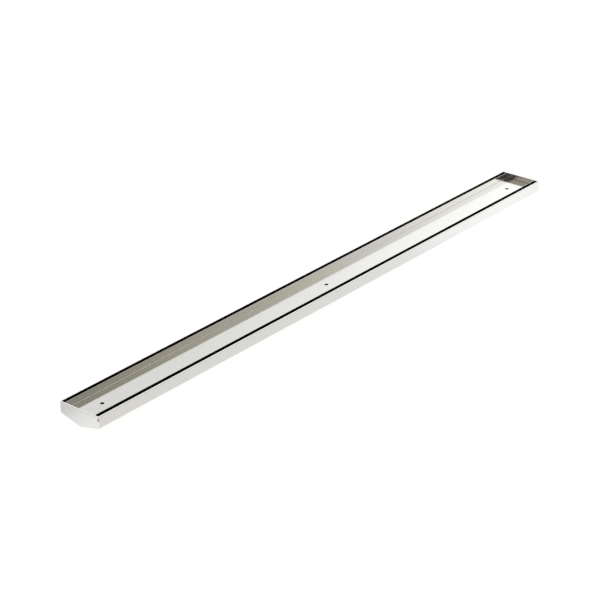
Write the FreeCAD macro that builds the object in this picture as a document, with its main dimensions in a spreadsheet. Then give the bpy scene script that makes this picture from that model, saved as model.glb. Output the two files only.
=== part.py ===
import FreeCAD, Part
import math
import os
import Sketcher

# Channel drain with a tile-insert tray, folded and welded from stainless steel sheet, in millimetres.
# X runs along the drain, Y across it and Z up. The origin is the centre of the outlet spigot's lower mouth.

NODE_FOLDER = "parts"

# Driving dimensions. Every cell holds a plain number, and the pieces read it by its alias.
SIZES = {
    # folded channel
    "overall_length": 1200.0,
    "overall_width": 84.0,
    "side_height": 20.5,
    "floor_fall": 10.5,
    "sheet": 1.5,
    "bend_radius": 1.5,
    # hems along the top edges
    "hem_gap": 0.2,
    "hem_drop": 8.5,
    "hem_end_gap": 0.5,
    # open upper part of the corner joint between an end plate and a side wall, and the ground weld below it
    "corner_slit": 0.6,
    "corner_slit_drop": 7.5,
    "corner_dressing": 1.2,
    # outlet in the middle of the floor
    "outlet_bore": 40.4,
    "outlet_wall": 1.5,
    "outlet_drop": 4.0,
    "outlet_clearance": 0.1,
    # tile tray
    "slot_width": 5.8,
    "tray_sheet": 1.0,
    "tray_bend_radius": 0.6,
    "tile_depth": 11.0,
    "tray_end_gap": 0.8,
    "weep_hole": 6.0,
    "weep_hole_margin": 50.0,
    "weep_hole_count": 3,
    # bent strips that carry the tray
    "support_count": 4,
    "support_margin": 110.0,
    "support_strip": 25.0,
    "support_span": 44.0,
    "support_foot": 8.0,
    "support_bend_radius": 1.0,
}

# Half sizes, faces and heights that several pieces share, as expressions on the cells.
HALF_LENGTH = "(Sizes.overall_length / 2)"
HALF_WIDTH = "(Sizes.overall_width / 2)"
WALL_FACE = f"({HALF_WIDTH} - Sizes.sheet)"
HEM_WIDTH = "(2 * Sizes.sheet + Sizes.hem_gap)"
HEM_FACE = f"({HALF_WIDTH} - {HEM_WIDTH})"
CORNER = "(Sizes.outlet_drop + Sizes.floor_fall)"
RIM = f"({CORNER} + Sizes.side_height)"
HEM_END = f"({RIM} - Sizes.hem_drop)"
HEM_ROOF = f"({RIM} - Sizes.sheet)"
SLIT_FOOT = f"({RIM} - Sizes.corner_slit_drop)"
FLOOR_SLOPE = f"(Sizes.floor_fall / {HALF_WIDTH})"
SLANT = f"sqrt(1 + {FLOOR_SLOPE} ^ 2)"
FLOOR_APEX = f"(Sizes.outlet_drop + Sizes.sheet * {SLANT})"
OUTER_BEND = "Sizes.bend_radius + Sizes.sheet"
OUTLET_OUTER = "(Sizes.outlet_bore + 2 * Sizes.outlet_wall)"
TRAY_HALF = f"({HEM_FACE} - Sizes.slot_width)"
TRAY_BED = f"({RIM} - Sizes.tile_depth)"
TRAY_UNDERSIDE = f"({TRAY_BED} - Sizes.tray_sheet)"
WEEP_REACH = f"({HALF_LENGTH} - Sizes.weep_hole_margin)"
SUPPORT_REACH = f"({HALF_LENGTH} - Sizes.support_margin)"
SUPPORT_HALF = "(Sizes.support_span / 2)"

# How near, in millimetres, an edge or a point must lie to count as the one that is looked for.
NEAR = 1e-4


def floor_at(across):
    """Expression for the height of the channel floor's upper face at a distance from the centreline."""
    return f"({FLOOR_APEX} + {FLOOR_SLOPE} * ({across}))"


def both_sides(half):
    """Closed outline from its right half: corners on the centreline are kept once, the others mirrored."""
    outline = dict(half)
    for name, (across, up) in reversed(half.items()):
        if across != "0":
            outline[f"{name} left"] = (f"-1 * {across}", up)
    return outline


def make_sizes(doc):
    """The sheet of driving dimensions: a label, a value and an alias in each row."""
    sheet = doc.addObject("Spreadsheet::Sheet", "Sizes")
    for row, (alias, value) in enumerate(SIZES.items(), start=1):
        sheet.set(f"A{row}", alias.replace("_", " "))
        sheet.set(f"B{row}", str(value))
        sheet.setAlias(f"B{row}", alias)
    doc.recompute()


def make_body(doc, label):
    body = doc.addObject("PartDesign::Body", label)
    body.Label = label
    return body


def origin_item(body, role):
    return next(item for item in body.Origin.OriginFeatures if item.Role == role)


def new_sketch(body, name, plane):
    sketch = body.newObject("Sketcher::SketchObject", name)
    sketch.AttachmentSupport = [(origin_item(body, plane), "")]
    sketch.MapMode = "FlatFace"
    return sketch


def place_point(sketch, geometry, point, across, up):
    """Ties a sketch point to a pair of expressions."""
    for kind, expression in (("DistanceX", across), ("DistanceY", up)):
        number = sketch.addConstraint(Sketcher.Constraint(kind, -1, 1, geometry, point, 1.0))
        sketch.setExpression(f"Constraints[{number}]", expression)


def outline(body, name, plane, corners):
    """Sketch of a closed outline. It starts as a rough ring, and the expressions pull each corner into place."""
    sketch = new_sketch(body, name, plane)
    count = len(corners)
    turns = [2 * math.pi * index / count for index in range(count)]
    rough = [FreeCAD.Vector(math.cos(turn), math.sin(turn), 0) for turn in turns]
    for index in range(count):
        sketch.addGeometry(Part.LineSegment(rough[index], rough[(index + 1) % count]), False)
    for index in range(count):
        sketch.addConstraint(Sketcher.Constraint("Coincident", index, 2, (index + 1) % count, 1))
    for index, (across, up) in enumerate(corners.values()):
        place_point(sketch, index, 1, across, up)
    body.Document.recompute()
    return sketch


def circles(body, name, plane, across, up, diameters):
    """Sketch of circles round one centre."""
    sketch = new_sketch(body, name, plane)
    for index, diameter in enumerate(diameters):
        circle = Part.Circle(FreeCAD.Vector(0, 0, 0), FreeCAD.Vector(0, 0, 1), index + 1.0)
        sketch.addGeometry(circle, False)
        place_point(sketch, index, 3, across, up)
        number = sketch.addConstraint(Sketcher.Constraint("Diameter", index, 2.0 * (index + 1)))
        sketch.setExpression(f"Constraints[{number}]", diameter)
    body.Document.recompute()
    return sketch


def pad(body, name, sketch, length, midplane=False):
    feature = body.newObject("PartDesign::Pad", name)
    feature.Profile = sketch
    feature.Midplane = midplane
    feature.setExpression("Length", length)
    body.Document.recompute()
    return feature


def pocket(body, name, sketch, length, midplane=False, upwards=False):
    """Cuts the sketch out of the body, and makes sure that something went."""
    before = body.Shape.Volume
    feature = body.newObject("PartDesign::Pocket", name)
    feature.Profile = sketch
    feature.Midplane = midplane
    feature.Reversed = upwards
    feature.setExpression("Length", length)
    body.Document.recompute()
    if body.Shape.Volume >= before:
        raise RuntimeError(f"{name} cuts nothing from {body.Label}")
    return feature


def mirror(body, name, plane, features):
    feature = body.newObject("PartDesign::Mirrored", name)
    feature.Originals = features
    feature.MirrorPlane = (origin_item(body, plane), [""])
    body.Tip = feature
    body.Document.recompute()
    return feature


def edges_through(body, sketch, corners, names):
    """Names of the body's straight edges that run square to the sketch through the named corners."""
    direction = sketch.Placement.Rotation.multVec(FreeCAD.Vector(0, 0, 1))
    order = list(corners)
    found = []
    for name in names:
        point = sketch.Placement.multVec(sketch.getPoint(order.index(name), 1))
        for number, edge in enumerate(body.Shape.Edges, start=1):
            if not isinstance(edge.Curve, Part.Line) or edge.Curve.Direction.cross(direction).Length > NEAR:
                continue
            if (edge.CenterOfMass - point).cross(direction).Length < NEAR:
                found.append(f"Edge{number}")
    if len(found) < len(names):
        raise RuntimeError(f"edges are missing on {body.Label}: {names}")
    return found


def round_edges(body, name, edge_names, radius):
    base = body.Tip
    feature = body.newObject("PartDesign::Fillet", name)
    feature.Base = (base, edge_names)
    feature.setExpression("Radius", radius)
    body.Document.recompute()
    return feature


def bevel_edges(body, name, edge_names, size):
    base = body.Tip
    feature = body.newObject("PartDesign::Chamfer", name)
    feature.Base = (base, edge_names)
    feature.setExpression("Size", size)
    body.Document.recompute()
    return feature


def with_left(*names):
    """The named corners together with their mirror images."""
    return [side for name in names for side in (name, f"{name} left")]


def make_channel(doc):
    """One sheet folded to a V floor, two upright walls and a hem inside the top of each."""
    body = make_body(doc, "channel_body")
    section = both_sides({
        "keel": ("0", "Sizes.outlet_drop"),
        "outer bend": (HALF_WIDTH, CORNER),
        "outer rim": (HALF_WIDTH, RIM),
        "inner rim": (HEM_FACE, RIM),
        "hem end": (HEM_FACE, HEM_END),
        "hem back": (f"({HEM_FACE} + Sizes.sheet)", HEM_END),
        "hem roof": (f"({HEM_FACE} + Sizes.sheet)", HEM_ROOF),
        "wall roof": (WALL_FACE, HEM_ROOF),
        "inner bend": (WALL_FACE, floor_at(WALL_FACE)),
        "valley": ("0", FLOOR_APEX),
    })
    sketch = outline(body, "folded_section", "YZ_Plane", section)
    pad(body, "folded_sheet", sketch, "Sizes.overall_length - 2 * Sizes.sheet", midplane=True)
    rims = edges_through(body, sketch, section, with_left("outer rim", "inner rim"))
    round_edges(body, "hem_bends", rims, "Sizes.sheet")
    outside = edges_through(body, sketch, section, ["keel"] + with_left("outer bend"))
    round_edges(body, "outside_bends", outside, OUTER_BEND)
    inside = edges_through(body, sketch, section, ["valley"] + with_left("inner bend"))
    round_edges(body, "inside_bends", inside, "Sizes.bend_radius")

    # The hems stop short of the end plate's own hem, and leave a tab of plain wall beside it.
    notch_start = f"({HALF_LENGTH} - {HEM_WIDTH} - Sizes.hem_end_gap)"
    notch_sketch = outline(body, "hem_notch_outline", "XZ_Plane", {
        "low inside": (notch_start, HEM_END),
        "low outside": (HALF_LENGTH, HEM_END),
        "high outside": (HALF_LENGTH, RIM),
        "high inside": (notch_start, RIM),
    })
    notch = pocket(body, "hem_notch", notch_sketch, f"2 * {WALL_FACE}", midplane=True)
    mirror(body, "other_end", "YZ_Plane", [notch])

    hole = f"{OUTLET_OUTER} + 2 * Sizes.outlet_clearance"
    hole_sketch = circles(body, "outlet_hole_outline", "XY_Plane", "0", "0", [hole])
    pocket(body, "outlet_hole", hole_sketch, RIM, upwards=True)
    return body


def make_end_plate(doc, label, side):
    """Five-sided plate over the ends of the walls and the floor, with a hem inside its top edge.

    Beside the hem the plate is cut back, so that each corner joint is an open slit there."""
    body = make_body(doc, label)
    shoulder = f"({WALL_FACE} - Sizes.corner_slit)"
    plate = both_sides({
        "keel": ("0", "Sizes.outlet_drop"),
        "bend": (HALF_WIDTH, CORNER),
        "weld top": (HALF_WIDTH, SLIT_FOOT),
        "slit foot": (shoulder, SLIT_FOOT),
        "shoulder": (shoulder, RIM),
    })
    plate_sketch = outline(body, "plate_outline", "YZ_Plane", plate)
    pad(body, "plate", plate_sketch, "Sizes.sheet")
    hem = {
        "front rim": ("0", RIM),
        "back rim": (HEM_WIDTH, RIM),
        "hem end": (HEM_WIDTH, HEM_END),
        "hem front": (f"({HEM_WIDTH} - Sizes.sheet)", HEM_END),
        "hem roof": (f"({HEM_WIDTH} - Sizes.sheet)", HEM_ROOF),
        "plate roof": ("Sizes.sheet", HEM_ROOF),
        "plate back": ("Sizes.sheet", HEM_END),
        "plate front": ("0", HEM_END),
    }
    hem_sketch = outline(body, "hem_section", "XZ_Plane", hem)
    pad(body, "hem", hem_sketch, f"2 * {shoulder}", midplane=True)
    rims = edges_through(body, hem_sketch, hem, ["front rim", "back rim"])
    round_edges(body, "hem_bend", rims, "Sizes.sheet")
    corners = edges_through(body, plate_sketch, plate, ["keel"] + with_left("bend"))
    round_edges(body, "plate_corners", corners, OUTER_BEND)
    bevel_edges(body, "dressed_weld", dressed_edges(body, plate_sketch, plate), "Sizes.corner_dressing")
    turn = 0 if side < 0 else 180
    body.Placement = FreeCAD.Placement(FreeCAD.Vector(0, 0, 0), FreeCAD.Rotation(FreeCAD.Vector(0, 0, 1), turn))
    body.setExpression("Placement.Base.x", f"{side} * {HALF_LENGTH}")
    return body


def dressed_edges(body, sketch, corners):
    """Front edges of an end plate that are welded and ground: all of its outline below the slits."""
    weld_top = sketch.getPoint(list(corners).index("weld top"), 1).y
    found = []
    for number, edge in enumerate(body.Shape.Edges, start=1):
        box = edge.BoundBox
        on_front = abs(box.XMin) < NEAR and abs(box.XMax) < NEAR
        if on_front and box.ZMax < weld_top + NEAR and box.ZMin < weld_top - NEAR:
            found.append(f"Edge{number}")
    return found


def make_spigot(doc):
    """Short tube welded into the outlet hole, cut to the slopes of the floor at its upper end."""
    body = make_body(doc, "outlet_spigot")
    radius = f"({OUTLET_OUTER} / 2)"
    rings = circles(body, "tube_section", "XY_Plane", "0", "0", [OUTLET_OUTER, "Sizes.outlet_bore"])
    pad(body, "tube", rings, floor_at(radius))
    slopes = outline(body, "floor_slopes", "YZ_Plane", both_sides({
        "valley": ("0", FLOOR_APEX),
        "edge": (radius, floor_at(radius)),
    }))
    pocket(body, "floor_cut", slopes, OUTLET_OUTER, midplane=True)
    return body


def make_tray(doc):
    """U-shaped tray that a row of tiles is bedded in, open at both ends, with weep holes along its middle."""
    body = make_body(doc, "tile_tray")
    section = both_sides({
        "outer bend": (TRAY_HALF, TRAY_UNDERSIDE),
        "outer rim": (TRAY_HALF, RIM),
        "inner rim": (f"({TRAY_HALF} - Sizes.tray_sheet)", RIM),
        "inner bend": (f"({TRAY_HALF} - Sizes.tray_sheet)", TRAY_BED),
    })
    sketch = outline(body, "tray_section", "YZ_Plane", section)
    length = f"Sizes.overall_length - 2 * ({HEM_WIDTH} + Sizes.tray_end_gap)"
    pad(body, "tray_sheet", sketch, length, midplane=True)
    outside = edges_through(body, sketch, section, with_left("outer bend"))
    round_edges(body, "outside_bends", outside, "Sizes.tray_bend_radius + Sizes.tray_sheet")
    inside = edges_through(body, sketch, section, with_left("inner bend"))
    round_edges(body, "inside_bends", inside, "Sizes.tray_bend_radius")

    hole_sketch = circles(body, "weep_hole_outline", "XY_Plane", f"-1 * {WEEP_REACH}", "0", ["Sizes.weep_hole"])
    hole = pocket(body, "weep_hole", hole_sketch, RIM, upwards=True)
    row = body.newObject("PartDesign::LinearPattern", "weep_holes")
    row.Originals = [hole]
    row.Direction = (origin_item(body, "X_Axis"), [""])
    row.setExpression("Length", f"2 * {WEEP_REACH}")
    row.setExpression("Occurrences", "Sizes.weep_hole_count")
    body.Tip = row
    doc.recompute()
    return body


def make_support(doc, index):
    """Strip bent to a bridge under the tray, whose sloping feet stand on both sides of the V floor."""
    body = make_body(doc, f"tray_support_{index + 1}")
    inner_leg = f"({SUPPORT_HALF} - Sizes.sheet)"
    toe = f"({SUPPORT_HALF} + Sizes.support_foot)"
    foot_rise = f"Sizes.sheet * {SLANT}"
    section = both_sides({
        "inner bend": (inner_leg, f"{TRAY_UNDERSIDE} - Sizes.sheet"),
        "heel": (inner_leg, floor_at(inner_leg)),
        "toe under": (toe, floor_at(toe)),
        "toe over": (toe, f"{floor_at(toe)} + {foot_rise}"),
        "foot bend": (SUPPORT_HALF, f"{floor_at(SUPPORT_HALF)} + {foot_rise}"),
        "outer bend": (SUPPORT_HALF, TRAY_UNDERSIDE),
    })
    sketch = outline(body, "strip_section", "YZ_Plane", section)
    pad(body, "strip", sketch, "Sizes.support_strip", midplane=True)
    outside = edges_through(body, sketch, section, with_left("outer bend", "heel"))
    round_edges(body, "outside_bends", outside, "Sizes.support_bend_radius + Sizes.sheet")
    inside = edges_through(body, sketch, section, with_left("inner bend", "foot bend"))
    round_edges(body, "inside_bends", inside, "Sizes.support_bend_radius")
    pitch = f"2 * {SUPPORT_REACH} / (Sizes.support_count - 1)"
    body.setExpression("Placement.Base.x", f"{index} * {pitch} - {SUPPORT_REACH}")
    return body


def check(doc, bodies):
    """Stops before anything is written if a feature has failed or a piece isn't one valid solid."""
    for item in doc.Objects:
        if "Invalid" in item.State or "Error" in item.State:
            raise RuntimeError(f"{item.Label} has failed: {item.State}")
    for body in bodies:
        if body.Shape.isNull() or not body.Shape.isValid() or len(body.Shape.Solids) != 1:
            raise RuntimeError(f"{body.Label} isn't one valid solid")


def main():
    doc = FreeCAD.newDocument("ChannelDrain")
    make_sizes(doc)
    bodies = [
        make_channel(doc),
        make_end_plate(doc, "end_plate_left", -1),
        make_end_plate(doc, "end_plate_right", 1),
        make_spigot(doc),
        make_tray(doc),
    ]
    bodies += [make_support(doc, index) for index in range(int(SIZES["support_count"]))]
    doc.recompute()
    check(doc, bodies)
    os.makedirs(NODE_FOLDER, exist_ok=True)
    for body in bodies:
        body.Shape.exportStep(f"{NODE_FOLDER}/{body.Label}.step")
        box = body.Shape.BoundBox
        print(f"{body.Label}: {body.Shape.Volume:.0f} mm3, Z {box.ZMin:.2f} to {box.ZMax:.2f}")


main()
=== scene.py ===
"""Dresses a folded stainless channel drain: finishes with painted shade in the water way, welds, corner
tacks, hem skirts, studio, camera.
"""

import math

import bmesh
import bpy
from bpy.props import FloatProperty, FloatVectorProperty, IntProperty, PointerProperty
from mathutils import Matrix, Vector


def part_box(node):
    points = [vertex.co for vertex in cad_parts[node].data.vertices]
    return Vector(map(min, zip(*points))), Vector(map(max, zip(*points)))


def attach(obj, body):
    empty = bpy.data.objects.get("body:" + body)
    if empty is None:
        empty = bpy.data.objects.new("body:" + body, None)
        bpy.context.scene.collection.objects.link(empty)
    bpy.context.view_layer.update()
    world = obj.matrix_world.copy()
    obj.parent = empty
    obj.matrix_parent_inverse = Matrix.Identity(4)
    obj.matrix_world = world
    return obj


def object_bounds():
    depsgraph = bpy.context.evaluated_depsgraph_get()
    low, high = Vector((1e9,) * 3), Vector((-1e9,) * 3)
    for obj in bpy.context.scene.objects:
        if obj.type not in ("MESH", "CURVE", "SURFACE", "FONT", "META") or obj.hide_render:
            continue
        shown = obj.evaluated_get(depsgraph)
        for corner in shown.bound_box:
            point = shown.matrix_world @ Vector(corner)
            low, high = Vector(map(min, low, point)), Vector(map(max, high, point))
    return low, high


bl_info = {
    "name": "Channel drain dressing",
    "version": (1, 0, 0),
    "blender": (4, 5, 0),
    "location": "3D View > Sidebar > Drain",
    "description": "Finishes, welds and studio for a stainless channel drain",
    "category": "Object",
}

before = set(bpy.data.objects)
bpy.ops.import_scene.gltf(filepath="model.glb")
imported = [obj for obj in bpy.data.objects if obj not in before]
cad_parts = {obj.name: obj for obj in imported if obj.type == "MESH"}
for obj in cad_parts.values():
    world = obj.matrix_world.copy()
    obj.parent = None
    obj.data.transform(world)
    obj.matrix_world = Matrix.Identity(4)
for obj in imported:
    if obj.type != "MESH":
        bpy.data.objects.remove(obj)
CAD_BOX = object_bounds()

MM = 0.001
BODY = "root"

CHANNEL = "channel_body"
END_PLATES = ("end_plate_left", "end_plate_right")
TRAY = "tile_tray"
SPIGOT = "outlet_spigot"
SUPPORTS = sorted(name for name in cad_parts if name.startswith("tray_support"))

CHANNEL_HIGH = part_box(CHANNEL)[1]
TRAY_LOW, TRAY_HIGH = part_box(TRAY)
SPIGOT_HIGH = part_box(SPIGOT)[1]

# Half of the channel between its end plates, half of its width, its rim, the outer faces of the end plates,
# and the level that the drain stands on.
HALF_LENGTH = CHANNEL_HIGH.x
HALF_WIDTH = CHANNEL_HIGH.y
RIM = CHANNEL_HIGH.z
END = CAD_BOX[1][0]
STAND = CAD_BOX[0][2]

# Sheet of the channel and of its supports, heights of the folded floor's keel and corners outside, width and
# depth of the hems along the top edges, and the open slit beside an end plate's hem.
SHEET = 1.5 * MM
KEEL = 4.0 * MM
CORNER = 14.5 * MM
FLOOR_SLOPE = (CORNER - KEEL) / HALF_WIDTH
FLOOR_SLANT = math.hypot(1, FLOOR_SLOPE)
HEM_WIDTH = 3.2 * MM
HEM_DROP = 8.5 * MM
CORNER_SLIT = 0.6 * MM

# Sheet of the tray, height of its floor, and how far the painted shade in its inner bends reaches up the
# walls and inwards.
TRAY_SHEET = 1.0 * MM
TRAY_BED = TRAY_LOW.z + TRAY_SHEET
TRAY_BEND = 0.7 * MM

# Distance between the weep holes, and how far the painted shade round each one reaches from its middle.
HOLE_PITCH = 550.0 * MM
HOLE_SHADE_REACH = 3.45 * MM

# Thin layer between a face and the limit of a finish, so that rounding never splits the face.
SKIN = 0.1 * MM

# How far the painted shade reaches over the rounded hem tops and the edges of the tray's walls, in sheets.
HEM_TOP_SHADED = 0.8
TRAY_EDGE_SHADED = 0.45

# Length and width of the clouds that rolling leaves in the ground sheet, of the roll lines in the bright one,
# of the clouds in the mill finish, and of the patches of heat tint on a weld.
SATIN_CLOUDS = (160 * MM, 60 * MM)
ROLL_LINES = (400 * MM, 3 * MM)
MILL_CLOUDS = (30 * MM, 8 * MM)
TINT_PATCHES = (4 * MM, 4 * MM)

# Where the middle of a noise starts and ends, and the part of it over which heat tint fades out.
NOISE_LOW, NOISE_HIGH = 0.3, 0.7
TINT_LOW, TINT_HIGH = 0.35, 0.6

# Share of its colour that a sheet keeps in the dark of a streak and of a cloud, and how far a sheet's
# roughness strays from its own value.
STREAK_SHADE = 0.96
SATIN_CLOUD_SHADE = (0.97, 0.97, 0.965)
MILL_CLOUD_SHADE = 0.85
SMOOTHER, ROUGHER = 0.85, 1.2

# Painted shade in the tray's inner bends: its colour as a share of the mill finish, and how much of it is
# mixed in.
BEND_SHADE = 0.3
BEND_SHARE = 0.38

# Shares of the bead width: how far a bead's middle line stands off the faces that it joins, at the outlet and
# in the ends, and how wide the beads in the ends are.
OUTLET_STANDOFF = 0.15
END_STANDOFF = 0.2
END_BEAD = 0.8

# A corner tack's height below the rim, its reach past the hem, and the little that grinding took off it.
TACK_HEIGHT = 2.4 * MM
TACK_REACH = 0.5 * MM
TACK_GROUND = 0.04 * MM


def from_hex(text):
    """Linear colour of an sRGB hex value such as E6E4DE."""
    parts = [int(text[start:start + 2], 16) / 255 for start in (0, 2, 4)]
    return tuple(part / 12.92 if part <= 0.04045 else ((part + 0.055) / 1.055) ** 2.4 for part in parts)


def with_alpha(colour):
    return (*colour, 1.0)


def add(tree, kind, inputs=None, stops=(), **settings):
    """Adds a node with its settings, a value or a link for each input that is given, and a ramp's stops.

    An input goes by its name, or by its number where several inputs share one name."""
    made = tree.nodes.new(kind)
    for name, value in settings.items():
        setattr(made, name, value)
    for name, value in (inputs or {}).items():
        if isinstance(value, bpy.types.NodeSocket):
            tree.links.new(value, made.inputs[name])
        else:
            made.inputs[name].default_value = value
    for index, (position, colour) in enumerate(stops):
        elements = made.color_ramp.elements
        element = elements[index] if index < len(elements) else elements.new(position)
        element.position = position
        element.color = with_alpha(colour)
    return made


class DrainFinish(bpy.types.PropertyGroup):
    """Colours and surface of each kind of steel, and the near-black shade painted round the water way."""

    satin_colour: FloatVectorProperty(
        name="Satin steel", description="Brushed sheet of the channel and its end plates",
        subtype="COLOR", size=3, min=0, max=1, default=from_hex("EFEEEC"))
    bright_colour: FloatVectorProperty(
        name="Bright steel", description="Glossy sheet of the tile tray",
        subtype="COLOR", size=3, min=0, max=1, default=from_hex("F1F1ED"))
    mill_colour: FloatVectorProperty(
        name="Mill steel", description="Unpolished sheet of the supports and the spigot",
        subtype="COLOR", size=3, min=0, max=1, default=from_hex("C8C7C2"))
    # Painted shade: a near-black colour on the faces round the water way, in place of the shade that falls
    # there.
    painted_shade_colour: FloatVectorProperty(
        name="Unlit steel", description="Inner faces of the water way, where hardly any light gets in",
        subtype="COLOR", size=3, min=0, max=1, default=from_hex("100F0E"))
    straw_colour: FloatVectorProperty(
        name="Heat tint", description="Straw colour that welding leaves beside a bead",
        subtype="COLOR", size=3, min=0, max=1, default=from_hex("B7A27A"))
    satin_roughness: FloatProperty(
        name="Satin roughness", description="Roughness of the brushed sheet",
        min=0, max=1, default=0.24)
    inner_roughness: FloatProperty(
        name="Inner roughness", description="Roughness of the end plates' inner sides, left unbrushed",
        min=0, max=1, default=0.19)
    # Roughness of the faces that carry the painted shade.
    painted_shade_roughness: FloatProperty(
        name="Unlit roughness", description="Roughness of the inner faces of the water way",
        min=0, max=1, default=0.6)
    bright_roughness: FloatProperty(
        name="Bright roughness", description="Roughness of the glossy sheet",
        min=0, max=1, default=0.11)
    grain_width: FloatProperty(
        name="Grain width", description="Width of a brushed streak, drawn coarser than the real 0.1 mm",
        unit="LENGTH", default=1.2 * MM)
    grain_length: FloatProperty(
        name="Grain length", description="Length of a brushed streak",
        unit="LENGTH", default=90 * MM)


class DrainWelds(bpy.types.PropertyGroup):
    """Sizes of the weld seams and of the spot welds."""

    bead_width: FloatProperty(
        name="Bead width", description="Width of a weld bead",
        unit="LENGTH", default=2.4 * MM)
    ripple_pitch: FloatProperty(
        name="Ripple pitch", description="Distance between the ripples of a bead",
        unit="LENGTH", default=0.7 * MM)
    spot_diameter: FloatProperty(
        name="Spot weld", description="Diameter of a spot weld's print",
        unit="LENGTH", default=5 * MM)
    spot_pitch: FloatProperty(
        name="Spot pitch", description="Distance between the two spot welds of a foot",
        unit="LENGTH", default=12 * MM)
    spot_inset: FloatProperty(
        name="Spot inset", description="Distance of a spot weld from the toe of its foot",
        unit="LENGTH", default=3.2 * MM)


class DrainStudio(bpy.types.PropertyGroup):
    """Camera, lamp and floor."""

    camera_azimuth: FloatProperty(
        name="Azimuth", description="Direction in which the camera looks, from the drain's long axis",
        subtype="ANGLE", default=math.radians(40.12))
    camera_elevation: FloatProperty(
        name="Elevation", description="How far the camera looks down",
        subtype="ANGLE", default=math.radians(25.67))
    camera_roll: FloatProperty(
        name="Roll", description="Turn of the camera about its own axis",
        subtype="ANGLE", default=math.radians(-0.75))
    camera_distance: FloatProperty(
        name="Distance", description="From the camera to the point it looks at",
        unit="LENGTH", default=3.4275)
    camera_lens: FloatProperty(
        name="Lens", description="Focal length in millimetres, on a 36 mm sensor",
        default=121.28)
    lamp_size: FloatProperty(
        name="Lamp size", description="Side of the square soft lamp",
        unit="LENGTH", default=2.0)
    lamp_power: FloatProperty(
        name="Lamp power", description="Power of the soft lamp",
        unit="POWER", default=12.0)
    floor_size: FloatProperty(
        name="Floor size", description="Side of the square floor",
        unit="LENGTH", default=12.0)
    floor_colour: FloatVectorProperty(
        name="Floor", description="Pale floor of the studio",
        subtype="COLOR", size=3, min=0, max=1, default=from_hex("F4F4F4"))


# ---------------------------------------------------------------------------------------------------------
# Materials
# ---------------------------------------------------------------------------------------------------------

def new_material(name):
    material = bpy.data.materials.new(name)
    material.use_nodes = True
    material.node_tree.nodes.clear()
    return material, material.node_tree


def finish_metal(tree, colour, roughness, relief, strength, depth):
    """Metal shader with the default index of refraction and a pattern for relief, joined to the output."""
    bump = add(tree, "ShaderNodeBump", {"Height": relief, "Strength": strength, "Distance": depth})
    shader = add(tree, "ShaderNodeBsdfPrincipled", {
        "Base Color": colour, "Roughness": roughness, "Metallic": 1.0, "Normal": bump.outputs["Normal"],
    })
    add(tree, "ShaderNodeOutputMaterial", {"Surface": shader.outputs["BSDF"]})


def streaks(tree, length, width, across_axis):
    """Noise drawn out along the grain, from the piece's own coordinates in metres."""
    scale = [1 / width] * 3
    scale[across_axis] = 1 / length
    place = add(tree, "ShaderNodeTexCoord").outputs["Object"]
    drawn = add(tree, "ShaderNodeMapping", {"Vector": place, "Scale": scale}).outputs["Vector"]
    return add(tree, "ShaderNodeTexNoise", {"Vector": drawn, "Scale": 1.0, "Detail": 3.0}).outputs["Fac"]


def uneven_roughness(tree, pattern, smoothest, roughest):
    """Roughness that follows the middle of a pattern."""
    return add(tree, "ShaderNodeMapRange", {
        "Value": pattern, "From Min": NOISE_LOW, "From Max": NOISE_HIGH,
        "To Min": smoothest, "To Max": roughest,
    }).outputs["Result"]


def shade(colour, share):
    return tuple(part * share for part in colour)


def own_place(tree):
    """The piece's own coordinates, with the distances from the middle of the drain in place of X and Y."""
    place = add(tree, "ShaderNodeTexCoord").outputs["Object"]
    along, across, height = add(tree, "ShaderNodeSeparateXYZ", {"Vector": place}).outputs
    along = add(tree, "ShaderNodeMath", {0: along}, operation="ABSOLUTE").outputs[0]
    across = add(tree, "ShaderNodeMath", {0: across}, operation="ABSOLUTE").outputs[0]
    return along, across, height


def all_hold(tree, *tests):
    """1 where each test of (value, comparison, limit) holds, and 0 elsewhere."""
    result = 1.0
    for value, comparison, limit in tests:
        test = add(tree, "ShaderNodeMath", {0: value, 1: limit}, operation=comparison).outputs[0]
        result = add(tree, "ShaderNodeMath", {0: result, 1: test}, operation="MULTIPLY").outputs[0]
    return result


def shade_inside_channel(tree):
    """Mask of the painted shade in the channel: the faces round the water way, hems from just below their
    rounded tops, walls and floor.
    """
    _, across, height = own_place(tree)
    over_keel = add(tree, "ShaderNodeMath", {0: across, 1: -FLOOR_SLOPE, 2: height},
                    operation="MULTIPLY_ADD").outputs[0]
    over_floor = (over_keel, "GREATER_THAN", KEEL + SHEET * FLOOR_SLANT / 2)
    hem = all_hold(tree, over_floor, (across, "LESS_THAN", HALF_WIDTH - HEM_WIDTH + HEM_TOP_SHADED * SHEET))
    wall = all_hold(tree, over_floor, (across, "LESS_THAN", HALF_WIDTH - SHEET + SKIN),
                    (height, "LESS_THAN", RIM - SHEET))
    return add(tree, "ShaderNodeMath", {0: hem, 1: wall}, operation="MAXIMUM").outputs[0]


def shade_behind_end_plate(tree):
    """Mask of the painted shade on an end plate: its inner face, below the tray."""
    along, _, height = own_place(tree)
    return all_hold(tree, (along, "LESS_THAN", HALF_LENGTH + SKIN), (height, "LESS_THAN", TRAY_LOW.z))


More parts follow.
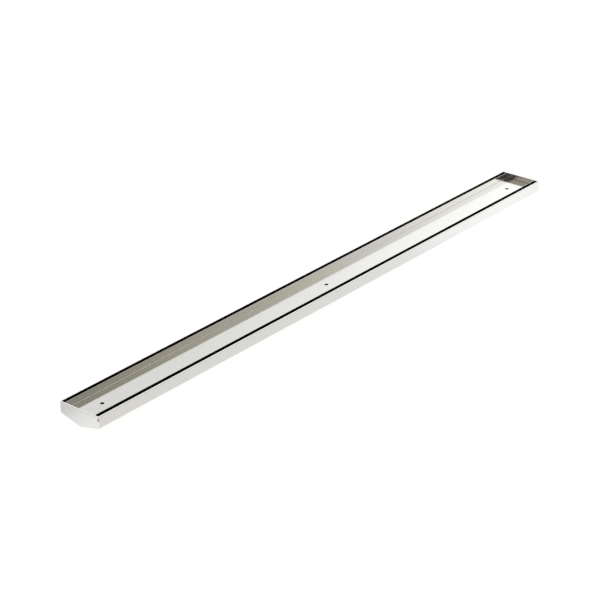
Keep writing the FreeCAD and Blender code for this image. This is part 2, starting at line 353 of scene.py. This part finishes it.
def shade_under_tray(tree):
    """Mask of the painted shade on the tray: the outside of its walls up to mid-edge, its underside, and its
    holes with a thin ring round them.
    """
    along, across, height = own_place(tree)
    wall = all_hold(tree, (across, "GREATER_THAN", TRAY_HIGH.y - TRAY_EDGE_SHADED * TRAY_SHEET))
    below = all_hold(tree, (height, "LESS_THAN", TRAY_BED - SKIN / 2))
    to_hole = add(tree, "ShaderNodeMath", {0: along, 1: HOLE_PITCH / 2}, operation="PINGPONG").outputs[0]
    offset = add(tree, "ShaderNodeCombineXYZ", {"X": to_hole, "Y": across}).outputs["Vector"]
    distance = add(tree, "ShaderNodeVectorMath", {0: offset}, operation="LENGTH").outputs["Value"]
    # Painted shade round each hole, reaching past its edge onto the tray's floor.
    rim = all_hold(tree, (distance, "LESS_THAN", HOLE_SHADE_REACH))
    outside = add(tree, "ShaderNodeMath", {0: wall, 1: below}, operation="MAXIMUM").outputs[0]
    return add(tree, "ShaderNodeMath", {0: outside, 1: rim}, operation="MAXIMUM").outputs[0]


def paint_shade(tree, mask, colour, roughness):
    """Paints shade on the masked faces: the near-black painted shade colour and its roughness, in place of
    the shade in the water way.
    """
    finish = bpy.context.scene.drain_finish
    both = add(tree, "ShaderNodeMix", {
        "Factor": mask, 6: colour, 7: with_alpha(finish.painted_shade_colour),
    }, data_type="RGBA")
    rough = add(tree, "ShaderNodeMapRange", {
        "Value": mask, "To Min": roughness, "To Max": finish.painted_shade_roughness,
    })
    return both.outputs[2], rough.outputs["Result"]


def satin_stainless(name, grain_axis, shaded_faces=None, inner_roughness=None):
    """Stainless sheet ground with a fine belt: long soft streaks along the grain, and a broad, low sheen.

    The given mask marks the faces on which shade is painted near-black, and inner_roughness is for the inner
    side of an end plate."""
    finish = bpy.context.scene.drain_finish
    material, tree = new_material(name)
    grain = streaks(tree, finish.grain_length, finish.grain_width, grain_axis)
    clouds = streaks(tree, *SATIN_CLOUDS, grain_axis)
    streaked = add(tree, "ShaderNodeValToRGB", {"Fac": grain}, stops=[
        (NOISE_LOW, shade(finish.satin_colour, STREAK_SHADE)),
        (NOISE_HIGH, finish.satin_colour),
    ]).outputs["Color"]
    clouded = add(tree, "ShaderNodeValToRGB", {"Fac": clouds}, stops=[
        (NOISE_LOW, SATIN_CLOUD_SHADE),
        (NOISE_HIGH, (1.0, 1.0, 1.0)),
    ]).outputs["Color"]
    colour = add(tree, "ShaderNodeMix", {"Factor": 1.0, 6: streaked, 7: clouded},
                 data_type="RGBA", blend_type="MULTIPLY").outputs[2]
    roughness = uneven_roughness(tree, grain, SMOOTHER * finish.satin_roughness,
                                 ROUGHER * finish.satin_roughness)
    if inner_roughness is not None:
        inner = all_hold(tree, (own_place(tree)[0], "LESS_THAN", HALF_LENGTH + SKIN))
        roughness = add(tree, "ShaderNodeMapRange", {
            "Value": inner, "To Min": roughness, "To Max": inner_roughness,
        }).outputs["Result"]
    # Painted shade on the masked faces.
    if shaded_faces:
        colour, roughness = paint_shade(tree, shaded_faces(tree), colour, roughness)
    finish_metal(tree, colour, roughness, grain, strength=0.03, depth=0.02 * MM)
    return material


def bright_stainless(name):
    """Bright annealed sheet: an almost clear mirror, with the faint long lines of the mill's rolls.

    The lines are drawn wider than real ones, so that they show. Shade is painted in the inner bends, under
    the tray and round its holes."""
    finish = bpy.context.scene.drain_finish
    material, tree = new_material(name)
    rolled = streaks(tree, *ROLL_LINES, 0)
    colour = add(tree, "ShaderNodeValToRGB", {"Fac": rolled}, stops=[
        (NOISE_LOW, shade(finish.bright_colour, STREAK_SHADE)),
        (NOISE_HIGH, finish.bright_colour),
    ]).outputs["Color"]
    roughness = uneven_roughness(tree, rolled, SMOOTHER * finish.bright_roughness,
                                 ROUGHER * finish.bright_roughness)
    _, across, height = own_place(tree)
    bend = all_hold(tree, (across, "GREATER_THAN", TRAY_HIGH.y - TRAY_SHEET - TRAY_BEND),
                    (height, "LESS_THAN", TRAY_BED + TRAY_BEND))
    # Painted shade in the inner bends.
    painted_bend_shade = add(tree, "ShaderNodeMapRange", {"Value": bend, "To Min": 0.0, "To Max": BEND_SHARE})
    colour = add(tree, "ShaderNodeMix", {
        "Factor": painted_bend_shade.outputs["Result"], 6: colour, 7: with_alpha(shade(finish.mill_colour, BEND_SHADE)),
    }, data_type="RGBA").outputs[2]
    # Painted shade under the tray, on the outsides of its walls and round its holes.
    colour, roughness = paint_shade(tree, shade_under_tray(tree), colour, roughness)
    finish_metal(tree, colour, roughness, rolled, strength=0.05, depth=0.02 * MM)
    return material


def mill_stainless(name):
    """Cold-rolled sheet as it leaves the mill: grey, cloudy and nearly matt."""
    finish = bpy.context.scene.drain_finish
    material, tree = new_material(name)
    clouds = streaks(tree, *MILL_CLOUDS, 0)
    colour = add(tree, "ShaderNodeValToRGB", {"Fac": clouds}, stops=[
        (NOISE_LOW, shade(finish.mill_colour, MILL_CLOUD_SHADE)),
        (NOISE_HIGH, finish.mill_colour),
    ]).outputs["Color"]
    roughness = uneven_roughness(tree, clouds, smoothest=0.34, roughest=0.46)
    finish_metal(tree, colour, roughness, clouds, strength=0.1, depth=0.05 * MM)
    return material


def weld_stainless(name):
    """Weld metal as it was laid: silver, with patches of straw heat tint the size of a few ripples."""
    finish = bpy.context.scene.drain_finish
    material, tree = new_material(name)
    patches = streaks(tree, *TINT_PATCHES, 0)
    colour = add(tree, "ShaderNodeValToRGB", {"Fac": patches}, stops=[
        (TINT_LOW, finish.straw_colour),
        (TINT_HIGH, finish.mill_colour),
    ]).outputs["Color"]
    roughness = uneven_roughness(tree, patches, smoothest=0.3, roughest=0.45)
    finish_metal(tree, colour, roughness, patches, strength=0.1, depth=0.05 * MM)
    return material


def dress(node, material):
    """Puts one finish on every slot of a CAD node."""
    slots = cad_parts[node].material_slots
    if not slots:
        raise RuntimeError(f"{node} has no material slot")
    for item in slots:
        item.material = material


# ---------------------------------------------------------------------------------------------------------
# Geometry Nodes: weld ripples along a path, and spot welds on points
# ---------------------------------------------------------------------------------------------------------

def new_tree(name, sockets):
    """Geometry tree with a geometry input and output, and one float input for each name in sockets."""
    tree = bpy.data.node_groups.new(name, "GeometryNodeTree")
    tree.interface.new_socket("Geometry", in_out="OUTPUT", socket_type="NodeSocketGeometry")
    tree.interface.new_socket("Geometry", in_out="INPUT", socket_type="NodeSocketGeometry")
    for socket in sockets:
        tree.interface.new_socket(socket, in_out="INPUT", socket_type="NodeSocketFloat")
    return tree, tree.nodes.new("NodeGroupInput")


def end_tree(tree, instances, material):
    """Realizes the instances, gives them their material and ends the tree."""
    solid = add(tree, "GeometryNodeRealizeInstances", {"Geometry": instances})
    painted = add(tree, "GeometryNodeSetMaterial",
                  {"Geometry": solid.outputs["Geometry"], "Material": material})
    add(tree, "NodeGroupOutput", {0: painted.outputs["Geometry"]})


def weld_tree(material):
    """Overlapping drops along the path, a ripple pitch apart and of slightly different sizes."""
    tree, given = new_tree("weld_ripples", ("Bead width", "Ripple pitch"))
    path = add(tree, "GeometryNodeMeshToCurve", {"Mesh": given.outputs["Geometry"]})
    stops = add(tree, "GeometryNodeCurveToPoints",
                {"Curve": path.outputs["Curve"], "Length": given.outputs["Ripple pitch"]}, mode="LENGTH")
    drop = add(tree, "GeometryNodeMeshUVSphere", {"Segments": 10, "Rings": 6, "Radius": 0.5})
    smooth = add(tree, "GeometryNodeSetShadeSmooth", {"Geometry": drop.outputs["Mesh"]})
    jitter = add(tree, "FunctionNodeRandomValue", {2: 0.88, 3: 1.08, "Seed": 7}, data_type="FLOAT")
    size = add(tree, "ShaderNodeMath", {0: given.outputs["Bead width"], 1: jitter.outputs[1]},
               operation="MULTIPLY")
    drops = add(tree, "GeometryNodeInstanceOnPoints", {
        "Points": stops.outputs["Points"], "Instance": smooth.outputs["Geometry"],
        "Rotation": stops.outputs["Rotation"], "Scale": size.outputs["Value"],
    })
    end_tree(tree, drops.outputs["Instances"], material)
    return tree


def spot_tree(material):
    """A shallow domed print on each point, facing along the point's own direction."""
    tree, given = new_tree("spot_welds", ("Diameter", "Height"))
    facing = add(tree, "GeometryNodeInputNamedAttribute", {"Name": "facing"}, data_type="FLOAT_VECTOR")
    turned = add(tree, "FunctionNodeAlignRotationToVector", {"Vector": facing.outputs["Attribute"]}, axis="Z")
    button = add(tree, "GeometryNodeMeshUVSphere", {"Segments": 24, "Rings": 8, "Radius": 0.5})
    smooth = add(tree, "GeometryNodeSetShadeSmooth", {"Geometry": button.outputs["Mesh"]})
    size = add(tree, "ShaderNodeCombineXYZ", {
        "X": given.outputs["Diameter"], "Y": given.outputs["Diameter"], "Z": given.outputs["Height"],
    })
    prints = add(tree, "GeometryNodeInstanceOnPoints", {
        "Points": given.outputs["Geometry"], "Instance": smooth.outputs["Geometry"],
        "Rotation": turned.outputs["Rotation"], "Scale": size.outputs["Vector"],
    })
    end_tree(tree, prints.outputs["Instances"], material)
    return tree


def grow(name, seed_mesh, tree, values):
    """Runs a tree on a seed mesh and keeps the result as a plain mesh piece that rides on the drain."""
    seed = bpy.data.objects.new(name + "_seed", seed_mesh)
    bpy.context.scene.collection.objects.link(seed)
    modifier = seed.modifiers.new("grow", "NODES")
    modifier.node_group = tree
    for item in tree.interface.items_tree:
        if item.in_out == "INPUT" and item.name in values:
            modifier[item.identifier] = values[item.name]
    graph = bpy.context.evaluated_depsgraph_get()
    mesh = bpy.data.meshes.new_from_object(seed.evaluated_get(graph))
    bpy.data.objects.remove(seed)
    if not mesh.polygons:
        raise RuntimeError(f"{name} grew no faces")
    mesh.name = name
    piece = bpy.data.objects.new(name, mesh)
    bpy.context.scene.collection.objects.link(piece)
    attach(piece, BODY)


def path_mesh(name, routes):
    """Mesh of edges along each route."""
    points, edges = [], []
    for route in routes:
        start = len(points)
        points += route
        edges += [(index, index + 1) for index in range(start, len(points) - 1)]
    mesh = bpy.data.meshes.new(name)
    mesh.from_pydata(points, edges, [])
    return mesh


def underside(across):
    """Height of the folded floor's lower face at a distance from the centreline."""
    return KEEL + FLOOR_SLOPE * abs(across)


def upper_side(across):
    """Height of the folded floor's upper face at a distance from the centreline."""
    return underside(across) + SHEET * FLOOR_SLANT


# ---------------------------------------------------------------------------------------------------------
# Operators
# ---------------------------------------------------------------------------------------------------------

class DRAIN_OT_channel(bpy.types.Operator):
    """Gives the folded channel and its end plates their ground finish, with painted shade round the water way
    """
    bl_idname = "drain.channel"
    bl_label = "Channel and end plates"

    def execute(self, context):
        dress(CHANNEL, satin_stainless("satin_stainless_channel", 0, shade_inside_channel))
        for name in END_PLATES:
            dress(name, satin_stainless(f"satin_stainless_{name}", 1, shade_behind_end_plate,
                                        context.scene.drain_finish.inner_roughness))
        return {"FINISHED"}


class DRAIN_OT_tray(bpy.types.Operator):
    """Gives the tile tray its bright finish, with painted shade in its bends, under it and round its holes"""
    bl_idname = "drain.tray"
    bl_label = "Tile tray"

    def execute(self, context):
        dress(TRAY, bright_stainless("bright_annealed_stainless"))
        return {"FINISHED"}


class DRAIN_OT_hidden_steel(bpy.types.Operator):
    """Gives the outlet spigot and the tray supports their mill finish"""
    bl_idname = "drain.hidden_steel"
    bl_label = "Spigot and supports"

    def execute(self, context):
        material = mill_stainless("mill_finish_stainless")
        for name in (SPIGOT, *SUPPORTS):
            dress(name, material)
        return {"FINISHED"}


class DRAIN_OT_outlet_weld(bpy.types.Operator):
    """Lays the weld bead round the outlet spigot, under the floor"""
    bl_idname = "drain.outlet_weld"
    bl_label = "Outlet weld"
    steps: IntProperty(name="Steps", description="Points round the bead", min=24, default=120)

    def execute(self, context):
        welds = context.scene.drain_welds
        standoff = OUTLET_STANDOFF * welds.bead_width
        radius = SPIGOT_HIGH.x + standoff
        ring = []
        for step in range(self.steps + 1):
            turn = 2 * math.pi * step / self.steps
            across = radius * math.sin(turn)
            ring.append((radius * math.cos(turn), across, underside(across) - standoff))
        tree = weld_tree(weld_stainless("outlet_weld_metal"))
        grow("outlet_weld", path_mesh("outlet_weld_path", [ring]), tree,
             {"Bead width": welds.bead_width, "Ripple pitch": welds.ripple_pitch})
        return {"FINISHED"}


class DRAIN_OT_end_welds(bpy.types.Operator):
    """Lays the weld beads inside the channel's ends, where the plates meet the walls and the floor"""
    bl_idname = "drain.end_welds"
    bl_label = "End welds"
    clearance: FloatProperty(name="Clearance", description="From the beads' upper ends to the tray",
                             unit="LENGTH", default=1.0 * MM)

    def execute(self, context):
        welds = context.scene.drain_welds
        standoff = END_STANDOFF * welds.bead_width
        wall = HALF_WIDTH - SHEET - standoff
        top = TRAY_LOW.z - self.clearance
        routes = []
        for side in (-1, 1):
            along = side * (HALF_LENGTH - standoff)
            half = [(wall, top), (wall, upper_side(wall) + standoff), (0, upper_side(0) + standoff)]
            left = [(-across, up) for across, up in reversed(half[:-1])]
            routes.append([(along, across, up) for across, up in half + left])
        tree = weld_tree(weld_stainless("end_weld_metal"))
        grow("end_welds", path_mesh("end_weld_paths", routes), tree,
             {"Bead width": END_BEAD * welds.bead_width, "Ripple pitch": welds.ripple_pitch})
        return {"FINISHED"}


def add_bar(shape, outline, side, across_from, across_to):
    """Adds a closed bar across the drain, from an outline of (distance from the end, height) points."""
    rings = [[shape.verts.new((side * (END - inward), across, up)) for inward, up in outline]
             for across in (across_from, across_to)]
    for ring in rings:
        shape.faces.new(ring)
    for index in range(len(outline)):
        ahead = (index + 1) % len(outline)
        shape.faces.new((rings[0][index], rings[0][ahead], rings[1][ahead], rings[1][index]))


def end_plate_piece(name, shape, material):
    """Turns a finished bmesh into a piece of the end plates' steel that rides on the drain."""
    bmesh.ops.recalc_face_normals(shape, faces=shape.faces)
    mesh = bpy.data.meshes.new(name)
    shape.to_mesh(mesh)
    shape.free()
    mesh.materials.append(material)
    piece = bpy.data.objects.new(name, mesh)
    bpy.context.scene.collection.objects.link(piece)
    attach(piece, BODY)


def arc(centre, radius, start, stop, steps=8):
    """Points of a round corner, from one angle to another in degrees."""
    turns = [math.radians(start + (stop - start) * step / steps) for step in range(steps + 1)]
    return [(centre[0] + radius * math.cos(turn), centre[1] + radius * math.sin(turn)) for turn in turns]


def tack_section():
    """Outline of a corner tack, along the drain and up, that follows the rounded top of the end plate."""
    foot, back = RIM - TACK_HEIGHT, HEM_WIDTH + TACK_REACH
    rounded = arc((SHEET, RIM - SHEET), SHEET - TACK_GROUND, 180, 90)
    return [(back, foot), (TACK_GROUND, foot), *rounded, (back, RIM - TACK_GROUND)]


class DRAIN_OT_corner_tacks(bpy.types.Operator):
    """Closes the top of each corner slit with a tack weld that is ground flush"""
    bl_idname = "drain.corner_tacks"
    bl_label = "Corner tacks"
    width: FloatProperty(name="Width", description="Width of a tack across the slit",
                         unit="LENGTH", default=1.1 * MM)

    def execute(self, context):
        middle = HALF_WIDTH - SHEET - CORNER_SLIT / 2
        shape = bmesh.new()
        for side_x in (-1, 1):
            for side_y in (-1, 1):
                add_bar(shape, tack_section(), side_x,
                        side_y * (middle - self.width / 2), side_y * (middle + self.width / 2))
        end_plate_piece("corner_tacks", shape, satin_stainless("satin_stainless_corner_tacks", 1))
        return {"FINISHED"}


class DRAIN_OT_hem_skirts(bpy.types.Operator):
    """Carries the hem of each end plate down past the floor of the tray, over the tray's width"""
    bl_idname = "drain.hem_skirts"
    bl_label = "Hem skirts"
    reach: FloatProperty(name="Reach", description="How far a skirt hangs below the tray",
                         unit="LENGTH", default=0.5 * MM)

    def execute(self, context):
        foot = TRAY_LOW.z - self.reach
        inner, outer, top = HEM_WIDTH, HEM_WIDTH - SHEET, RIM - HEM_DROP
        radius = SHEET / 2
        rounded = arc(((inner + outer) / 2, foot + radius), radius, 180, 360)
        shape = bmesh.new()
        for side in (-1, 1):
            add_bar(shape, [(outer, top), *rounded, (inner, top)], side, -TRAY_HIGH.y, TRAY_HIGH.y)
        material = satin_stainless("satin_stainless_hem_skirts", 1, shade_behind_end_plate,
                                   context.scene.drain_finish.inner_roughness)
        end_plate_piece("hem_skirts", shape, material)
        return {"FINISHED"}


class DRAIN_OT_spot_welds(bpy.types.Operator):
    """Prints the spot welds that hold the supports' feet, on the feet and under the floor"""
    bl_idname = "drain.spot_welds"
    bl_label = "Spot welds"
    height: FloatProperty(name="Height", description="Height of a print",
                          unit="LENGTH", default=0.3 * MM)

    def execute(self, context):
        welds = context.scene.drain_welds
        points, facings = [], []
        for name in SUPPORTS:
            low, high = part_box(name)
            middle = (low.x + high.x) / 2
            for side in (-1, 1):
                across = side * (high.y - welds.spot_inset)
                up = Vector((0, -side * FLOOR_SLOPE, 1)).normalized()
                for shift in (-0.5, 0.5):
                    along = middle + shift * welds.spot_pitch
                    foot = upper_side(across) + SHEET * FLOOR_SLANT
                    points += [(along, across, foot), (along, across, underside(across))]
                    facings += [up, -up]
        mesh = bpy.data.meshes.new("spot_weld_points")
        mesh.from_pydata(points, [], [])
        attribute = mesh.attributes.new("facing", "FLOAT_VECTOR", "POINT")
        attribute.data.foreach_set("vector", [part for facing in facings for part in facing])
        tree = spot_tree(weld_stainless("spot_weld_metal"))
        grow("spot_welds", mesh, tree, {"Diameter": welds.spot_diameter, "Height": self.height})
        return {"FINISHED"}


# ---------------------------------------------------------------------------------------------------------
# Studio
# ---------------------------------------------------------------------------------------------------------

# Share of green that a warm light loses for each share of blue.
WARM_GREEN = 0.35


def azimuth_stop(degrees, strength, warmth=0.0):
    """A stop of the radial gradient that runs round the horizon, with the +X direction at its middle."""
    return degrees / 360 + 0.5, (strength, strength * (1 - WARM_GREEN * warmth), strength * (1 - warmth))


# Brightness of the studio round the horizon as the metal shows it: a bright wall beyond the drain's far end,
# and a dark, slightly warm room behind the camera. 1 is the brightest wall.
ROOM = [
    azimuth_stop(-180, 0.045, 0.2),
    azimuth_stop(-147, 0.01, 0.2),
    azimuth_stop(-110, 0.10),
    azimuth_stop(-60, 0.14),
    azimuth_stop(-47, 0.182, 0.24),
    azimuth_stop(-43.5, 0.333, 0.21),
    azimuth_stop(-40, 0.405, 0.15),
    azimuth_stop(-36.6, 0.74, 0.03),
    azimuth_stop(-33, 1.0, 0.0),
    azimuth_stop(0, 1.0),
    azimuth_stop(33, 0.93),
    azimuth_stop(36.6, 0.845),
    azimuth_stop(40, 0.712),
    azimuth_stop(43.5, 0.64),
    azimuth_stop(47, 0.605),
    azimuth_stop(75, 0.76),
    azimuth_stop(125, 0.66),
    azimuth_stop(138, 0.40, 0.1),
    azimuth_stop(146, 0.285, 0.28),
    azimuth_stop(154, 0.18, 0.28),
    azimuth_stop(180, 0.045, 0.2),
]
ROOM_STRENGTH = 1.25

# Colour of the ceiling in that room, and the heights at which it starts and is whole, from 0 at the horizon
# to 1 overhead.
CEILING = (0.92, 0.92, 0.9108)
CEILING_START, CEILING_WHOLE = 0.50, 0.62

# Even light that the room gives to matt surfaces.
EVEN_LIGHT = 0.9

# Painted shade on the paper, which glows with it for the metal's reflections only: along the drain, from
# PAPER_MARGIN before its near end to as much past its far one, and in front of the near end plate, from the
# camera's right to its left. The second starts PAPER_STEP before the plate.
PAPER_STRENGTH = 1.15
PAPER_ALONG = [
    (0.0, (0.69, 0.685, 0.66)),
    (0.45, (0.73, 0.73, 0.705)),
    (0.55, (0.745, 0.745, 0.735)),
    (0.644, (0.787, 0.787, 0.787)),
    (0.732, (0.93, 0.93, 0.93)),
    (0.82, (0.95, 0.95, 0.95)),
]
PAPER_BEFORE_END = [
    (0.0, (0.86, 0.86, 0.86)),
    (0.5, (0.775, 0.775, 0.775)),
    (1.0, (0.60, 0.60, 0.59)),
]
PAPER_MARGIN = 200 * MM
PAPER_RIGHT, PAPER_LEFT = -15 * MM, 70 * MM
PAPER_STEP = 3 * MM

# The paper as the camera sees it: nearly white by itself, and the rest from the light that falls on it.
PAPER_WHITE = 0.9
PAPER_SHADED = 0.16

# Where the lamp hangs, the point that the camera looks at, and the width of its sensor in millimetres.
LAMP_PLACE = Vector((1.2, 1.6, 2.4))
CAMERA_AIM = Vector((-93.8 * MM, -18.6 * MM, RIM))
SENSOR_WIDTH = 36.0


def seen_directly(tree, path):
    """1 for the camera's own view and through glass, and 0 in reflections and for light."""
    return add(tree, "ShaderNodeMath", {0: path["Is Camera Ray"], 1: path["Is Transmission Ray"]},
               operation="MAXIMUM").outputs[0]


def make_world():
    """White to the camera, an even light for the floor, and a bright and a dark side for the metal.

    The room isn't sampled as a lamp, because the metal then renders with less grain."""
    world = bpy.data.worlds.new("studio_room")
    bpy.context.scene.world = world
    world.use_nodes = True
    world.cycles.sampling_method = "NONE"
    tree = world.node_tree
    tree.nodes.clear()
    place = add(tree, "ShaderNodeTexCoord").outputs["Generated"]
    around = add(tree, "ShaderNodeTexGradient", {"Vector": place}, gradient_type="RADIAL").outputs["Fac"]
    height = add(tree, "ShaderNodeSeparateXYZ", {"Vector": place}).outputs["Z"]
    overhead = add(tree, "ShaderNodeMapRange", {
        "Value": height, "From Min": CEILING_START, "From Max": CEILING_WHOLE,
    }).outputs["Result"]
    walls = add(tree, "ShaderNodeValToRGB", {"Fac": around}, stops=ROOM).outputs["Color"]
    room = add(tree, "ShaderNodeMix", {
        "Factor": overhead, 6: walls, 7: with_alpha(CEILING),
    }, data_type="RGBA").outputs[2]
    even = add(tree, "ShaderNodeBackground", {"Color": (1, 1, 1, 1), "Strength": EVEN_LIGHT})
    mirrored = add(tree, "ShaderNodeBackground", {"Color": room, "Strength": ROOM_STRENGTH})
    white = add(tree, "ShaderNodeBackground", {"Color": (1, 1, 1, 1), "Strength": 1.0})
    path = add(tree, "ShaderNodeLightPath").outputs
    lit = add(tree, "ShaderNodeMixShader",
              {"Fac": path["Is Glossy Ray"], 1: even.outputs[0], 2: mirrored.outputs[0]})
    shown = add(tree, "ShaderNodeMixShader",
                {"Fac": seen_directly(tree, path), 1: lit.outputs[0], 2: white.outputs[0]})
    add(tree, "ShaderNodeOutputWorld", {"Surface": shown.outputs["Shader"]})


def floor_paint():
    """Matt white paper. The camera sees it white with a soft shadow, and the metal sees painted shade glowing
    from it.

    It isn't sampled as a lamp, for the same reason as the room."""
    studio = bpy.context.scene.drain_studio
    material, tree = new_material("matt_white_paper")
    material.cycles.emission_sampling = "NONE"
    place = add(tree, "ShaderNodeTexCoord").outputs["Object"]
    along, across, _ = add(tree, "ShaderNodeSeparateXYZ", {"Vector": place}).outputs
    share_along = add(tree, "ShaderNodeMapRange", {
        "Value": along, "From Min": -HALF_LENGTH - PAPER_MARGIN, "From Max": HALF_LENGTH + PAPER_MARGIN,
    }).outputs["Result"]
    share_across = add(tree, "ShaderNodeMapRange", {
        "Value": across, "From Min": PAPER_RIGHT, "From Max": PAPER_LEFT,
    }).outputs["Result"]
    beside = add(tree, "ShaderNodeValToRGB", {"Fac": share_along}, stops=PAPER_ALONG).outputs["Color"]
    before_end = add(tree, "ShaderNodeValToRGB", {"Fac": share_across}, stops=PAPER_BEFORE_END)
    at_end = all_hold(tree, (along, "LESS_THAN", -END - PAPER_STEP))
    painted_paper_shade = add(tree, "ShaderNodeMix", {"Factor": at_end, 6: beside, 7: before_end.outputs["Color"]},
                 data_type="RGBA").outputs[2]
    paper = add(tree, "ShaderNodeBsdfDiffuse", {"Color": with_alpha(studio.floor_colour)})
    # Painted reflection: the paper glows with its painted shade for glossy rays only.
    mirrored = add(tree, "ShaderNodeEmission", {"Color": painted_paper_shade, "Strength": PAPER_STRENGTH})
    white = add(tree, "ShaderNodeEmission", {"Color": (1, 1, 1, 1), "Strength": PAPER_WHITE})
    shadowed = add(tree, "ShaderNodeBsdfDiffuse", {"Color": with_alpha([PAPER_SHADED] * 3)})
    bright = add(tree, "ShaderNodeAddShader", {0: white.outputs[0], 1: shadowed.outputs[0]})
    path = add(tree, "ShaderNodeLightPath").outputs
    matt = add(tree, "ShaderNodeMixShader",
               {"Fac": seen_directly(tree, path), 1: paper.outputs[0], 2: bright.outputs[0]})
    both = add(tree, "ShaderNodeMixShader",
               {"Fac": path["Is Glossy Ray"], 1: matt.outputs[0], 2: mirrored.outputs[0]})
    add(tree, "ShaderNodeOutputMaterial", {"Surface": both.outputs["Shader"]})
    return material


def make_floor():
    half = bpy.context.scene.drain_studio.floor_size / 2
    corners = ((-half, -half), (half, -half), (half, half), (-half, half))
    mesh = bpy.data.meshes.new("studio_floor")
    mesh.from_pydata([(x, y, STAND) for x, y in corners], [], [(0, 1, 2, 3)])
    mesh.materials.append(floor_paint())
    floor = bpy.data.objects.new("studio_floor", mesh)
    bpy.context.scene.collection.objects.link(floor)


def make_key_light():
    """Square soft lamp that points at the drain's middle. The metal shows the room instead of the lamp."""
    studio = bpy.context.scene.drain_studio
    data = bpy.data.lights.new("key_light", "AREA")
    data.shape = "SQUARE"
    data.size = studio.lamp_size
    data.energy = studio.lamp_power
    lamp = bpy.data.objects.new("key_light", data)
    lamp.location = LAMP_PLACE
    lamp.rotation_euler = (-LAMP_PLACE).to_track_quat("-Z", "Y").to_euler()
    lamp.visible_glossy = False
    bpy.context.scene.collection.objects.link(lamp)


def look_direction(azimuth, elevation):
    level = math.cos(elevation)
    return Vector((math.cos(azimuth) * level, math.sin(azimuth) * level, -math.sin(elevation)))


def make_camera():
    studio = bpy.context.scene.drain_studio
    forward = look_direction(studio.camera_azimuth, studio.camera_elevation)
    level = forward.cross(Vector((0, 0, 1))).normalized()
    upright = level.cross(forward)
    right = math.cos(studio.camera_roll) * level + math.sin(studio.camera_roll) * upright
    up = -math.sin(studio.camera_roll) * level + math.cos(studio.camera_roll) * upright
    place = CAMERA_AIM - studio.camera_distance * forward
    data = bpy.data.cameras.new("camera")
    data.lens = studio.camera_lens
    data.sensor_width = SENSOR_WIDTH
    camera = bpy.data.objects.new("camera", data)
    camera.matrix_world = Matrix((
        (right.x, up.x, -forward.x, place.x),
        (right.y, up.y, -forward.y, place.y),
        (right.z, up.z, -forward.z, place.z),
        (0, 0, 0, 1),
    ))
    bpy.context.scene.collection.objects.link(camera)
    bpy.context.scene.camera = camera


class DRAIN_OT_studio(bpy.types.Operator):
    """Builds the pale floor, the soft light and the camera"""
    bl_idname = "drain.studio"
    bl_label = "Studio"

    def execute(self, context):
        context.scene.view_settings.view_transform = "Standard"
        make_world()
        make_floor()
        make_key_light()
        make_camera()
        return {"FINISHED"}


class DRAIN_PT_panel(bpy.types.Panel):
    """Sidebar panel with the settings and the steps"""
    bl_idname = "DRAIN_PT_panel"
    bl_label = "Channel drain"
    bl_space_type = "VIEW_3D"
    bl_region_type = "UI"
    bl_category = "Drain"

    def draw(self, context):
        layout = self.layout
        for settings in (context.scene.drain_finish, context.scene.drain_welds, context.scene.drain_studio):
            box = layout.box()
            for name in settings.__annotations__:
                box.prop(settings, name)
        for step in STEPS:
            layout.operator(step.bl_idname)


SETTINGS = {"drain_finish": DrainFinish, "drain_welds": DrainWelds, "drain_studio": DrainStudio}
STEPS = (
    DRAIN_OT_channel,
    DRAIN_OT_tray,
    DRAIN_OT_hidden_steel,
    DRAIN_OT_outlet_weld,
    DRAIN_OT_end_welds,
    DRAIN_OT_corner_tacks,
    DRAIN_OT_hem_skirts,
    DRAIN_OT_spot_welds,
    DRAIN_OT_studio,
)


def register():
    for item in (*SETTINGS.values(), *STEPS, DRAIN_PT_panel):
        bpy.utils.register_class(item)
    for name, group in SETTINGS.items():
        setattr(bpy.types.Scene, name, PointerProperty(type=group))


def unregister():
    for name in SETTINGS:
        delattr(bpy.types.Scene, name)
    for item in reversed((*SETTINGS.values(), *STEPS, DRAIN_PT_panel)):
        bpy.utils.unregister_class(item)


def main():
    register()
    bpy.ops.drain.channel()
    bpy.ops.drain.tray()
    bpy.ops.drain.hidden_steel()
    bpy.ops.drain.outlet_weld()
    bpy.ops.drain.end_welds()
    bpy.ops.drain.corner_tacks()
    bpy.ops.drain.hem_skirts()
    bpy.ops.drain.spot_welds()
    bpy.ops.drain.studio()


if __name__ == "__main__":
    main()
